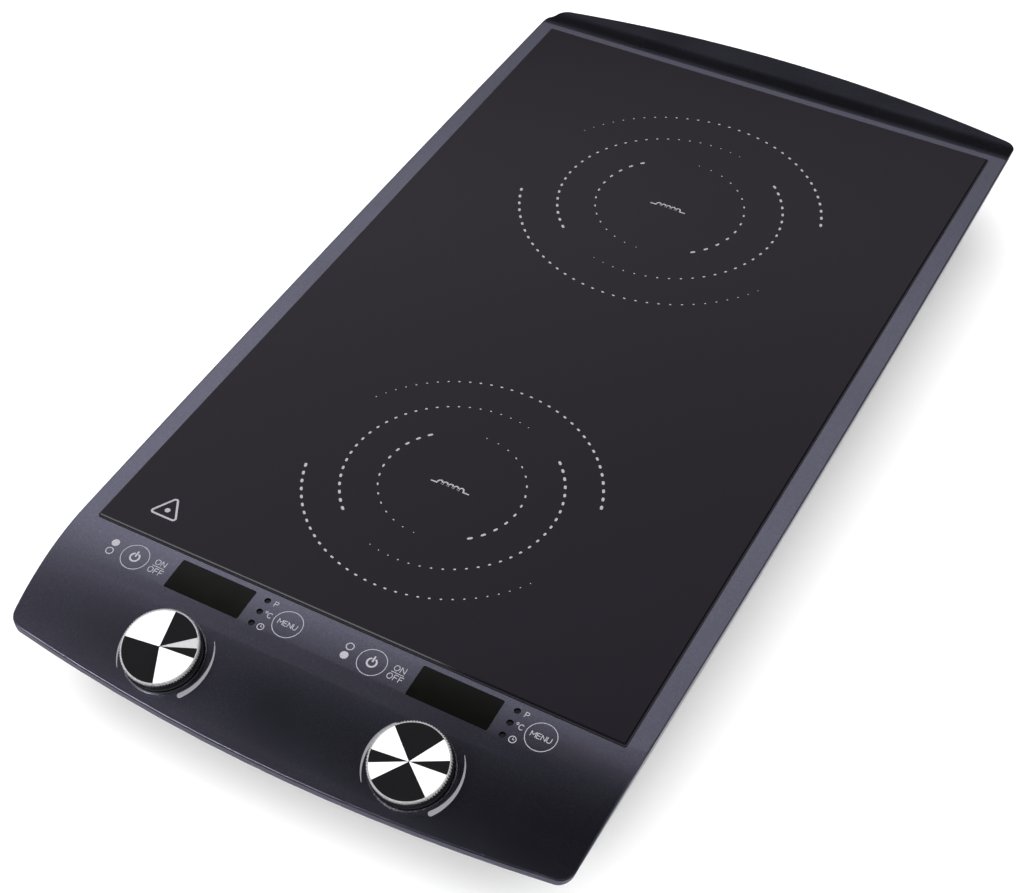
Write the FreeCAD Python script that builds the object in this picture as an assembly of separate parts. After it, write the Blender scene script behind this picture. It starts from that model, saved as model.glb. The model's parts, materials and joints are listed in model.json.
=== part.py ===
import FreeCAD, Part
import math
import os

os.makedirs("parts", exist_ok=True)
V = FreeCAD.Vector

# Driving dimensions in mm. Everything is modelled from the middle of the glass's front edge:
# +X right, +Y towards the rear, +Z up from the glass's top face. export() moves it to the row frame.
GLASS_W, GLASS_L, GLASS_T = 300.0, 507.0, 4.0
GLASS_R = 0.6
GAP = 0.8
FRONT_Y, REAR_Y = -80.4, 558.6
FRONT_R, REAR_R = 1230.0, 665.0
HALF_W, SIDE_BULGE = 162.2, 2.0
CORNER_FRONT, CORNER_REAR = 7.0, 8.5
SIDE_LEAN, LEAN_FROM = 0.21, -2.2
SKIN = 2.5
DECK_Z = -1.35
CURVE_Y, CURVE_R = 1.5, 180.0
SKIRT_Z = -16.1
FRONT_WALL = 3.9
LEDGE = 16.0
BASE_Z = -59.0
FOOT_Z = -62.0
TUB_REAR = 530.0
WALL = 2.5
FLOOR_Z = BASE_Z + WALL
KNOB_Y = -53.6
KNOB_X = {"left": -73.0, "right": 67.0}
GROUP_X = {"left": -72.4, "right": 67.3}
KNOB_R = 20.3
GRIP_R = 19.7
CAP_R = 19.2
KNOB_H = 8.6
TEETH = 84
ZONES = {"front": (106.0, 72.0), "rear": (371.0, 84.0)}
FAN_X, FAN_Y, FAN_SIZE, FAN_H = 72.0, 238.0, 80.0, 25.0
MID_Y = (FRONT_Y + REAR_Y) / 2.0
BOSSES = [(-137.5, 24.0), (137.5, 24.0), (-137.5, 252.0), (137.5, 252.0),
          (-137.5, 480.0), (137.5, 480.0), (-133.0, -14.0), (133.0, -14.0)]
GLAND = (105.0, TUB_REAR, -36.0)
PCB_DEPTH = 16.5


def export(name, shape):
    """Move a shape to the row frame (bottom centre of the whole part) and write it."""
    out = shape.copy()
    out.translate(V(0, -MID_Y, -FOOT_Z))
    out.exportStep("parts/" + name + ".step")
    return out


def box(x0, x1, y0, y1, z0, z1):
    return Part.makeBox(x1 - x0, y1 - y0, z1 - z0, V(x0, y0, z0))


def rod(x, y, z0, z1, r):
    return Part.makeCylinder(r, z1 - z0, V(x, y, z0), V(0, 0, 1))


def ring(x, y, z0, z1, r_in, r_out):
    return rod(x, y, z0, z1, r_out).cut(rod(x, y, z0 - 1, z1 + 1, r_in))


def union(shapes):
    return shapes[0].multiFuse(shapes[1:]).removeSplitter()


def rounded(x0, x1, y0, y1, z0, z1, r):
    """A box with its four upright edges rounded."""
    solid = box(x0, x1, y0, y1, z0, z1)
    upright = [e for e in solid.Edges if abs(e.BoundBox.ZLength - (z1 - z0)) < 1e-6]
    return solid.makeFillet(r, upright)


def outline(w, front, rear, z):
    """Closed plan outline of half width w: bowed front and rear edges, almost straight sides."""
    side = w - SIDE_BULGE
    yf = front + FRONT_R - math.sqrt(FRONT_R ** 2 - side ** 2)
    yr = rear - REAR_R + math.sqrt(REAR_R ** 2 - side ** 2)
    corners = [V(-side, yf, z), V(side, yf, z), V(side, yr, z), V(-side, yr, z)]
    middles = [V(0, front, z), V(w, (yf + yr) / 2, z), V(0, rear, z), V(-w, (yf + yr) / 2, z)]
    edges = []
    for i in range(4):
        edges.append(Part.Arc(corners[i], middles[i], corners[(i + 1) % 4]).toShape())
    return Part.Wire(edges)


def outline_block(low, high, z0, z1, r_front, r_rear):
    """A solid between two outlines, each given as half width, front and rear; corners rounded."""
    solid = Part.makeLoft([outline(*low, z0), outline(*high, z1)], True, True)
    for rear, radius in ((False, r_front), (True, r_rear)):
        picked = []
        for e in solid.Edges:
            tall = e.BoundBox.ZLength > 0.9 * (z1 - z0)
            if tall and (e.BoundBox.Center.y > 200) == rear:
                picked.append(e)
        solid = solid.makeFillet(radius, picked)
    return solid


def outline_solid(inset, z0, z1):
    """The plan outline as a solid whose sides lean in towards the bottom."""
    front, rear = FRONT_Y + inset, REAR_Y - inset
    low = (HALF_W - inset + SIDE_LEAN * (z0 - LEAN_FROM), front, rear)
    high = (HALF_W - inset + SIDE_LEAN * (z1 - LEAN_FROM), front, rear)
    return outline_block(low, high, z0, z1, CORNER_FRONT - inset, CORNER_REAR - inset)


def deck(y, off=0.0):
    """Height of the panel surface, or of a surface that lies off below it, at a given Y."""
    if y >= CURVE_Y:
        return DECK_Z - off
    return DECK_Z - CURVE_R + math.sqrt((CURVE_R - off) ** 2 - (y - CURVE_Y) ** 2)


REAR_FLAT, REAR_R1, REAR_R2 = 513.0, 26.0, 48.0
REAR_A1, REAR_A2 = math.radians(23.0), math.radians(6.0)


def rear_points(off):
    """Rear strip's profile: flat, rounded over to a slope, then easing back to a shallow fall."""
    r1, r2 = REAR_R1 - off, REAR_R2 + off
    cy, cz = REAR_FLAT, DECK_Z - REAR_R1
    a = [V(0, cy, cz + r1)]
    a.append(V(0, cy + r1 * math.sin(REAR_A1 / 2), cz + r1 * math.cos(REAR_A1 / 2)))
    a.append(V(0, cy + r1 * math.sin(REAR_A1), cz + r1 * math.cos(REAR_A1)))
    span = REAR_R1 + REAR_R2
    dy, dz = cy + span * math.sin(REAR_A1), cz + span * math.cos(REAR_A1)
    mid = (REAR_A1 + REAR_A2) / 2
    b = [V(0, dy - r2 * math.sin(mid), dz - r2 * math.cos(mid))]
    b.append(V(0, dy - r2 * math.sin(REAR_A2), dz - r2 * math.cos(REAR_A2)))
    end = V(0, 590, b[1].z - (590 - b[1].y) * math.tan(REAR_A2))
    return a, b, end


def below(off, drop, z_cap, z_low):
    """Everything under the deck: off below it, drop lower again, and never above z_cap."""
    y0 = -95.0
    ym = (y0 + CURVE_Y) / 2
    a, b, end = rear_points(off)
    front, crest = V(0, y0, deck(y0, off)), V(0, CURVE_Y, DECK_Z - off)
    edges = [
        Part.Arc(front, V(0, ym, deck(ym, off)), crest).toShape(),
        Part.makeLine(crest, a[0]),
        Part.Arc(a[0], a[1], a[2]).toShape(),
        Part.Arc(a[2], b[0], b[1]).toShape(),
        Part.makeLine(b[1], end),
        Part.makeLine(end, V(0, 590, z_low)),
        Part.makeLine(V(0, 590, z_low), V(0, y0, z_low)),
        Part.makeLine(V(0, y0, z_low), front),
    ]
    face = Part.Face(Part.Wire(edges))
    face.translate(V(-200, 0, -drop))
    solid = face.extrude(V(400, 0, 0))
    return solid.common(box(-210, 210, -110, 600, z_low - 5, z_cap))


# The skirt's lower edge is level, and follows the panel where the panel dips lower at the front.
skirt_floor = below(0.0, FRONT_WALL, SKIRT_Z, -120.0)

# Local frames of the two knobs: origin on the panel, +Z along its outward normal.
TILT = math.degrees(math.asin((CURVE_Y - KNOB_Y) / CURVE_R))


def on_panel(shape, side):
    """Place a shape drawn about a knob's axis."""
    spot = V(KNOB_X[side], KNOB_Y, deck(KNOB_Y))
    out = shape.copy()
    out.Placement = FreeCAD.Placement(spot, FreeCAD.Rotation(V(1, 0, 0), TILT)).multiply(out.Placement)
    return out


# ---- top frame -------------------------------------------------------------------------------
outer = outline_solid(0.0, SKIRT_Z - 12.0, 6.0).common(below(0.0, 0.0, 10.0, -120.0))
outer = outer.cut(skirt_floor)
rim = []
for e in outer.Edges:
    mid = e.valueAt((e.FirstParameter + e.LastParameter) / 2)
    on_top = abs(mid.z - deck(mid.y)) < 0.02 or (mid.y > REAR_FLAT and mid.z > SKIRT_Z + 2)
    crosses = e.BoundBox.XLength > 300 and e.BoundBox.YLength < 0.01
    high = e.BoundBox.Center.z > SKIRT_Z - 6 and mid.z > deck(min(mid.y, 0)) - 0.02
    if on_top and high and not crosses:
        rim.append(e)
outer = outer.makeFillet(0.9, rim)
inner = outline_solid(SKIN, -60.0, 6.0).common(below(SKIN, 0.0, 10.0, -120.0))
frame = outer.cut(inner)

gw, gl = GLASS_W / 2 + GAP, GLASS_L + GAP
collar = box(-gw - SKIN, gw + SKIN, -GAP - SKIN, gl + SKIN, -7.0, DECK_Z - 0.5)
frame = frame.fuse(collar)
for x, y in BOSSES:
    top = -6.0 if y > 0 else deck(y, SKIN) + 0.3
    frame = frame.fuse(rod(x, y, -30.0, top, 4.0))
seats = []
for side in ("left", "right"):
    seats.append(on_panel(rod(0, 0, -3.4, 0.0, KNOB_R + 1.3), side))
under = below(1.0, 0.0, 10.0, -120.0)
CTRL_POSTS = [(-48.0, -3.5), (48.0, -3.5), (-51.0, 45.5), (51.0, 45.5)]
for side in ("left", "right"):
    for px, py in CTRL_POSTS:
        seats.append(on_panel(rod(px, py, -PCB_DEPTH, 6.0, 2.4), side).common(under))
frame = frame.multiFuse(seats)

cuts = [rounded(-gw, gw, -GAP, gl, -5.0, 3.0, GLASS_R + GAP)]
lw = GLASS_W / 2 - LEDGE
cuts.append(rounded(-lw, lw, LEDGE, GLASS_L - LEDGE, -20.0, 3.0, 6.0))
for x, y in BOSSES:
    cuts.append(rod(x, y, -31.0, -12.0, 1.55))
WINDOW_W, WINDOW_L, WINDOW_Y = 44.0, 18.4, -13.4
LED_DX, LED_Y, LED_R = 29.7, (-6.4, -13.8, -21.2), 1.7
for side in ("left", "right"):
    cx = GROUP_X[side]
    half = WINDOW_W / 2 + 0.1
    y0, y1 = WINDOW_Y - WINDOW_L / 2 - 0.1, WINDOW_Y + WINDOW_L / 2 + 0.1
    cuts.append(rounded(cx - half, cx + half, y0, y1, -12.0, 3.0, 1.0))
    for y in LED_Y:
        cuts.append(rod(cx + LED_DX, y, -12.0, 3.0, LED_R))
    cuts.append(on_panel(rod(0, 0, -6.0, 2.0, 4.6), side))
    for px, py in CTRL_POSTS:
        cuts.append(on_panel(rod(px, py, -PCB_DEPTH - 1, -PCB_DEPTH + 7.0, 1.15), side))
    cuts.append(on_panel(ring(0, 0, -1.5, 2.0, KNOB_R + 0.45, KNOB_R + 1.3), side))
frame = frame.cut(Part.makeCompound(cuts)).removeSplitter()
export("top_frame", frame)

# ---- glass and its silicone seal -------------------------------------------------------------
glass = rounded(-GLASS_W / 2, GLASS_W / 2, 0, GLASS_L, -GLASS_T, 0.0, GLASS_R)
edge = [e for e in glass.Edges if e.BoundBox.ZMin > -0.01]
glass = glass.makeChamfer(0.5, edge)
export("glass_plate", glass)
seal = rounded(-gw, gw, -GAP, gl, -5.0, -0.9, GLASS_R + GAP)
seal = seal.cut(rounded(-GLASS_W / 2, GLASS_W / 2, 0, GLASS_L, -GLASS_T, 1.0, GLASS_R))
seal = seal.cut(rounded(-gw + 9, gw - 9, 8.2, GLASS_L - 8.2, -6.0, 1.0, 2.0))
export("glass_gasket", seal)

# ---- bottom housing --------------------------------------------------------------------------
TUB_W_LOW, TUB_W_HIGH = 144.0, 152.0
TUB_FRONT, TUB_LEAN = -46.0, 0.663


def tub_block(t):
    """The housing's outer block, or with t its hollow: raked bowed front, tapered sides."""
    z0, z1 = BASE_Z + t, 0.0
    taper = (TUB_W_HIGH - TUB_W_LOW) / (0.0 - BASE_Z)
    front = TUB_FRONT + t * math.hypot(1.0, TUB_LEAN)
    low = (TUB_W_LOW + taper * t - t, front - TUB_LEAN * t, TUB_REAR - t)
    high = (TUB_W_HIGH - t, front + TUB_LEAN * BASE_Z, TUB_REAR - t)
    return outline_block(low, high, z0, z1, 30.0 - t, 12.0 - t)


tub_top = below(SKIN, 0.5, -13.5, -120.0)
shelf = outline_solid(SKIN + 0.8, -50.0, 6.0).common(tub_top).cut(below(SKIN, 2.5, -15.5, -120.0))
tub = tub_block(0.0).common(outline_solid(SKIN + 0.8, -90.0, 6.0)).common(tub_top)
tub = tub.fuse(shelf)
hollow = tub_block(WALL).common(outline_solid(SKIN + 0.8 + WALL, -90.0, 6.0))
tub = tub.cut(hollow)

adds, cuts = [], []
for x, y in BOSSES:
    adds.append(rod(x, y, BASE_Z + 0.5, -30.2, 4.5))
    cuts.append(rod(x, y, BASE_Z - 1, -29.0, 1.8))
    cuts.append(rod(x, y, BASE_Z - 1, -52.0, 3.3))
BOARD_W, BOARD_L = 170.0, 140.0
BOARD_Z = -52.5
board_holes = []
for name, (cy, r) in ZONES.items():
    for sx in (-1, 1):
        for sy in (-1, 1):
            x, y = sx * (BOARD_W / 2 - 6), cy + sy * (BOARD_L / 2 - 6)
            board_holes.append((x, y))
            adds.append(rod(x, y, FLOOR_Z - 0.5, BOARD_Z, 3.5))
            cuts.append(rod(x, y, -56.0, BOARD_Z + 1, 1.3))
coil_posts = {}
for name, (cy, r) in ZONES.items():
    coil_posts[name] = [(sx * (r + 28.0), cy + sy * 50.0) for sx in (-1, 1) for sy in (-1, 1)]
    for x, y in coil_posts[name]:
        adds.append(rod(x, y, FLOOR_Z - 0.5, -28.0, 5.0))
        adds.append(rod(x, y, -28.5, -16.0, 2.2))
        adds.append(box(x - 0.8, x + 0.8, y - 9, y + 9, FLOOR_Z - 0.5, -36.0))
fan_holes = []
for sx in (-1, 1):
    for dx in (-1, 1):
        for dy in (-1, 1):
            x, y = sx * FAN_X + dx * 35.75, FAN_Y + dy * 35.75
            fan_holes.append((x, y))
            adds.append(rod(x, y, FLOOR_Z - 0.5, FLOOR_Z + 3.0, 3.5))
            cuts.append(rod(x, y, FLOOR_Z + 0.2, FLOOR_Z + 4.0, 1.3))
# Two ribs across the floor stiffen it in front of and behind the fans.
for y in (184.0, 291.0):
    adds.append(box(-138.0, 138.0, y - 0.8, y + 0.8, FLOOR_Z - 0.5, FLOOR_Z + 5.0))
adds = Part.makeCompound(adds).common(tub_block(0.4).common(tub_top))
tub = tub.multiFuse(adds.Solids)

# Air intake under each fan: rows of slots trimmed to a circle.
for sx in (-1, 1):
    rows = []
    for i in range(-5, 6):
        dy = i * 6.6
        half = math.sqrt(37.0 ** 2 - dy ** 2) - 1.0
        x, y = sx * FAN_X, FAN_Y + dy
        slots = [(-half, -half / 2 - 1.2), (-half / 2 + 1.2, -1.2)]
        slots += [(-b, -a) for a, b in slots]
        for a, b in slots:
            if b - a > 2.5:
                rows.append(box(x + a, x + b, y - 1.5, y + 1.5, BASE_Z - 1, FLOOR_Z + 0.2))
    cuts += rows
# Outlet slots: along both sides, in the rear wall and in the sloped front.
for sx in (-1, 1):
    for i in range(14):
        for y0 in (54.0, 318.0):
            y = y0 + i * 8.0
            cuts.append(box(sx * 148.0 - 8, sx * 148.0 + 8, y, y + 3.2, -44.0, -26.0))
for i in range(26):
    x = -118.0 + i * 8.0
    if abs(x + 1.6 - GLAND[0]) > 17:
        cuts.append(box(x, x + 3.2, TUB_REAR - 5, TUB_REAR + 3, -46.0, -26.0))
FEET = [(-118.0, -22.0), (118.0, -22.0), (-118.0, 505.0), (118.0, 505.0)]
for x, y in FEET:
    cuts.append(rod(x, y, BASE_Z - 1, BASE_Z + 1.0, 9.2))
    cuts.append(rod(x, y, BASE_Z - 1, FLOOR_Z + 1.0, 2.6))
cuts.append(Part.makeCylinder(8.3, 12, V(GLAND[0], GLAND[1] - 6, GLAND[2]), V(0, 1, 0)))
tub = tub.cut(Part.makeCompound(cuts)).removeSplitter()
export("bottom_housing", tub)

feet = []
for x, y in FEET:
    pad = Part.makeCone(7.6, 9.0, 3.2, V(x, y, FOOT_Z), V(0, 0, 1))
    pad = pad.fuse(rod(x, y, FOOT_Z + 3.2, BASE_Z + 1.0, 9.0))
    stem = rod(x, y, BASE_Z + 0.5, FLOOR_Z + 0.1, 2.5).fuse(
        Part.makeCone(3.6, 1.6, 3.0, V(x, y, FLOOR_Z + 0.1), V(0, 0, 1)))
    feet.append(pad.fuse(stem).removeSplitter())
export("rubber_feet", Part.makeCompound(feet))


def screw(x, y, z_head, length, r, head_r, head_h):
    """A cross-head screw, head down when length is positive, head up when it is negative."""
    if length > 0:
        body = rod(x, y, z_head, z_head + head_h, head_r)
        body = body.fuse(rod(x, y, z_head + head_h - 0.1, z_head + head_h + length, r))
        slot_z = z_head - 0.1
    else:
        body = rod(x, y, z_head - head_h, z_head, head_r)
        body = body.fuse(rod(x, y, z_head - head_h + length, z_head - head_h + 0.1, r))
        slot_z = z_head - 0.9
    for a, b in ((0.45, head_r * 0.6), (head_r * 0.6, 0.45)):
        body = body.cut(box(x - a, x + a, y - b, y + b, slot_z, slot_z + 1.0))
    return body.removeSplitter()


long_screws = [screw(x, y, -54.4, 36.0, 1.5, 3.0, 2.4) for x, y in BOSSES]
export("housing_screws", Part.makeCompound(long_screws))
small = [screw(x, y, BOARD_Z + 1.6 + 1.8, -5.0, 1.25, 2.6, 1.8) for x, y in board_holes]
for side in ("left", "right"):
    for px, py in CTRL_POSTS:
        small.append(on_panel(screw(px, py, -PCB_DEPTH - 3.2, 7.6, 1.1, 2.3, 1.6), side))
fan_top = FLOOR_Z + 3.0 + FAN_H
small += [screw(x, y, fan_top + 1.8, -(FAN_H + 2.6), 1.25, 2.6, 1.8) for x, y in fan_holes]
export("board_screws", Part.makeCompound(small))

# Cord gland: flanged bush through the rear wall with the 8 mm cord passage.
x, y, z = GLAND
bush = Part.makeCylinder(8.2, 9.0, V(x, y - 5.5, z), V(0, 1, 0))
bush = bush.fuse(Part.makeCylinder(11.0, 3.0, V(x, y, z), V(0, 1, 0)))
bush = bush.fuse(Part.makeCylinder(9.6, 2.5, V(x, y - 5.3, z), V(0, 1, 0)))
bush = bush.fuse(Part.makeCone(8.0, 6.2, 14.0, V(x, y + 2.5, z), V(0, 1, 0)))
bush = bush.cut(Part.makeCylinder(4.0, 40.0, V(x, y - 10, z), V(0, 1, 0)))
for i in range(4):
    groove = Part.makeCylinder(12.0, 1.0, V(x, y + 4.6 + i * 2.8, z), V(0, 1, 0))
    groove = groove.cut(Part.makeCylinder(5.4, 3.0, V(x, y + 3.6 + i * 2.8, z), V(0, 1, 0)))
    bush = bush.cut(groove)
export("cord_gland", bush.removeSplitter())

# ---- coils -----------------------------------------------------------------------------------
LITZ, PITCH = 1.6, 3.5


def spiral(cy, r_in, r_out, z):
    """Flat spiral of half circles about two centres, tangent at every joint."""
    edges = []
    r, side = r_in, 1
    centre = 0.0
    start = V(r_in, cy, z)
    while r < r_out:
        end = V(centre - side * r, cy, z)
        mid = V(centre, cy + side * r, z)
        edges.append(Part.Arc(start, mid, end).toShape())
        start = end
        centre += side * PITCH / 2
        side = -side
        r += PITCH / 2
    return Part.Wire(edges)


for name, (cy, r) in ZONES.items():
    path = spiral(cy, 22.0, r, -7.4)
    section = Part.Wire([Part.makeCircle(LITZ, V(22.0, cy, -7.4), V(0, 1, 0))])
    coil = path.makePipeShell([section], True, False)
    export("coil_winding_" + name, coil)
    sheet = ring(0, cy, -5.2, -4.6, 9.5, r + 4)
    export("mica_sheet_" + name, sheet)
    former = ring(0, cy, -11.6, -9.2, 10.5, r + 4)
    for r_in, r_out in ((10.5, 13.0), (r + 2.6, r + 4)):
        former = former.fuse(ring(0, cy, -11.6, -5.4, r_in, r_out))
    for x, y in coil_posts[name]:
        arm = box(0, math.hypot(x, y - cy), -5, 5, -11.6, -9.2)
        arm.rotate(V(0, 0, 0), V(0, 0, 1), math.degrees(math.atan2(y - cy, x)))
        arm.translate(V(0, cy, 0))
        arm = arm.cut(rod(0, cy, -13, 0, r + 1))
        former = former.fuse(arm).fuse(rod(x, y, -13.6, -9.2, 6.0)).cut(rod(x, y, -20, 0, 2.6))
    bars, slots = [], []
    count = 8
    for i in range(count):
        bar = box(24.0, r - 2, -5.5, 5.5, -16.4, -11.6)
        bar.rotate(V(0, 0, 0), V(0, 0, 1), 22.5 + 45.0 * i)
        bar.translate(V(0, cy, 0))
        bars.append(bar)
        slot = box(24.0, r - 2, 6.0, 7.2, -13.4, -11.5)
        slot.rotate(V(0, 0, 0), V(0, 0, 1), 22.5 + 45.0 * i)
        slot.translate(V(0, cy, 0))
        slots.append(slot)
        slot = box(24.0, r - 2, -7.2, -6.0, -13.4, -11.5)
        slot.rotate(V(0, 0, 0), V(0, 0, 1), 22.5 + 45.0 * i)
        slot.translate(V(0, cy, 0))
        slots.append(slot)
    export("coil_former_" + name, former.multiFuse(slots).removeSplitter())
    export("ferrite_bars_" + name, Part.makeCompound(bars))
    springs = []
    for x, y in coil_posts[name]:
        helix = Part.makeHelix(2.6, 13.0, 3.4)
        wire = Part.Wire(helix.Edges)
        section = Part.Wire([Part.makeCircle(0.45, V(3.4, 0, 0), V(0, 1, 0))])
        spring = wire.makePipeShell([section], True, True)
        spring.translate(V(x, y, -27.3))
        springs.append(spring)
    export("coil_springs_" + name, Part.makeCompound(springs))
    probe = rod(0, cy, -12.5, -4.2, 5.0).fuse(rod(0, cy, -12.5, -9.5, 9.8)).removeSplitter()
    export("thermistor_" + name, probe)

# ---- power boards ----------------------------------------------------------------------------
for name, (cy, r) in ZONES.items():
    pcb_top = BOARD_Z + 1.6
    pcb = box(-BOARD_W / 2, BOARD_W / 2, cy - BOARD_L / 2, cy + BOARD_L / 2, BOARD_Z, pcb_top)
    for x, y in board_holes:
        pcb = pcb.cut(rod(x, y, BOARD_Z - 1, pcb_top + 1, 1.6))
    export("power_board_" + name, pcb)
    hx0, hx1 = -20.0, 34.0
    sink = [box(hx0, hx1, cy - 56, cy + 56, pcb_top, pcb_top + 3.5)]
    for i in range(10):
        x = hx0 + i * (hx1 - hx0 - 1.4) / 9
        sink.append(box(x, x + 1.4, cy - 56, cy + 56, pcb_top + 3.0, pcb_top + 24.0))
    export("heat_sink_" + name, union(sink))
    chips = []
    for y in (cy - 34, cy - 10, cy + 22):
        chips.append(box(hx1 + 0.0, hx1 + 5.0, y - 8, y + 8, pcb_top + 3.0, pcb_top + 22.0))
        for k in (-1, 0, 1):
            ly = y + 5.4 * k
            leg = box(hx1 + 2.0, hx1 + 2.8, ly - 0.6, ly + 0.6, pcb_top, pcb_top + 3.2)
            chips[-1] = chips[-1].fuse(leg)
    export("power_devices_" + name, Part.makeCompound(chips))
    caps = [rounded(-72, -54, cy - 52, cy - 20, pcb_top, pcb_top + 27, 1.5)]
    caps.append(rounded(-72, -54, cy - 14, cy + 18, pcb_top, pcb_top + 27, 1.5))
    caps.append(rod(62, cy + 44, pcb_top, pcb_top + 22, 8.0))
    caps.append(rod(62, cy + 22, pcb_top, pcb_top + 18, 6.3))
    export("capacitors_" + name, Part.makeCompound(caps))
    core = Part.makeTorus(11.0, 5.0, V(62, cy - 30, pcb_top + 5.0), V(0, 0, 1))
    trafo = box(-46, -28, cy + 26, cy + 48, pcb_top, pcb_top + 17)
    export("choke_and_transformer_" + name, Part.makeCompound([core, trafo]))

# ---- fans ------------------------------------------------------------------------------------
ROTOR_TOP = FLOOR_Z + 3.0 + FAN_H - 2.0
for tag, sx in (("left", -1), ("right", 1)):
    cx, z0 = sx * FAN_X, FLOOR_Z + 3.0
    z1 = z0 + FAN_H
    h = FAN_SIZE / 2
    casing = rounded(cx - h, cx + h, FAN_Y - h, FAN_Y + h, z0, z1, 4.0)
    casing = casing.cut(rod(cx, FAN_Y, z0 - 1, z1 + 1, 38.0))
    lighten = rounded(cx - h - 1, cx + h + 1, FAN_Y - h - 1, FAN_Y + h + 1, z0 + 4.0, z1 - 4.0, 4.0)
    casing = casing.cut(lighten.cut(rod(cx, FAN_Y, z0, z1, 39.4)))
    casing = casing.fuse(rod(cx, FAN_Y, z0, z0 + 2.0, 16.0))
    casing = casing.fuse(rod(cx, FAN_Y, z0, z0 + 17.0, 4.5))
    for k in range(4):
        strut = box(14.0, 39.0, -2.0, 2.0, z0, z0 + 2.0)
        strut.rotate(V(0, 0, 0), V(0, 0, 1), 45.0 + 90.0 * k)
        strut.translate(V(cx, FAN_Y, 0))
        casing = casing.fuse(strut)
    casing = casing.cut(rod(cx, FAN_Y, z0 + 2.0, z1, 1.55))
    for x, y in fan_holes:
        casing = casing.cut(rod(x, y, z0 - 1, z1 + 1, 1.6))
    export("fan_casing_" + tag, casing.removeSplitter())
    hub = rod(cx, FAN_Y, z0 + 4.0, ROTOR_TOP, 15.0).cut(rod(cx, FAN_Y, z0 + 3.0, ROTOR_TOP - 1.8, 13.2))
    hub = hub.fuse(rod(cx, FAN_Y, z0 + 3.0, ROTOR_TOP - 1.0, 1.5))
    blades = []
    for k in range(7):
        blade = box(-1.0, 1.0, 0, 36.6, -9.5, 9.5)
        blade.rotate(V(0, 0, 0), V(0, 1, 0), 48.0)
        blade.translate(V(0, 0, (z0 + 4.0 + ROTOR_TOP) / 2))
        blade.rotate(V(0, 0, 0), V(0, 0, 1), k * 360.0 / 7)
        blade.translate(V(cx, FAN_Y, 0))
        blades.append(blade)
    sweep = ring(cx, FAN_Y, z0 + 4.0, ROTOR_TOP, 14.6, 36.6)
    blades = Part.makeCompound([b.common(sweep) for b in blades])
    export("fan_rotor_" + tag, hub.multiFuse(blades.Solids).removeSplitter())

# ---- mains terminal --------------------------------------------------------------------------
x0, y0 = GLAND[0] - 18, GLAND[1] - 62
block = rounded(x0, x0 + 34, y0, y0 + 20, FLOOR_Z, FLOOR_Z + 15, 1.0)
for i in range(3):
    xi = x0 + 6 + 11 * i
    block = block.cut(rod(xi, y0 + 10, FLOOR_Z + 6, FLOOR_Z + 16, 2.6))
    block = block.cut(box(xi - 2, xi + 2, y0 - 1, y0 + 21, FLOOR_Z + 3, FLOOR_Z + 6.5))
export("terminal_block", block)

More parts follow.
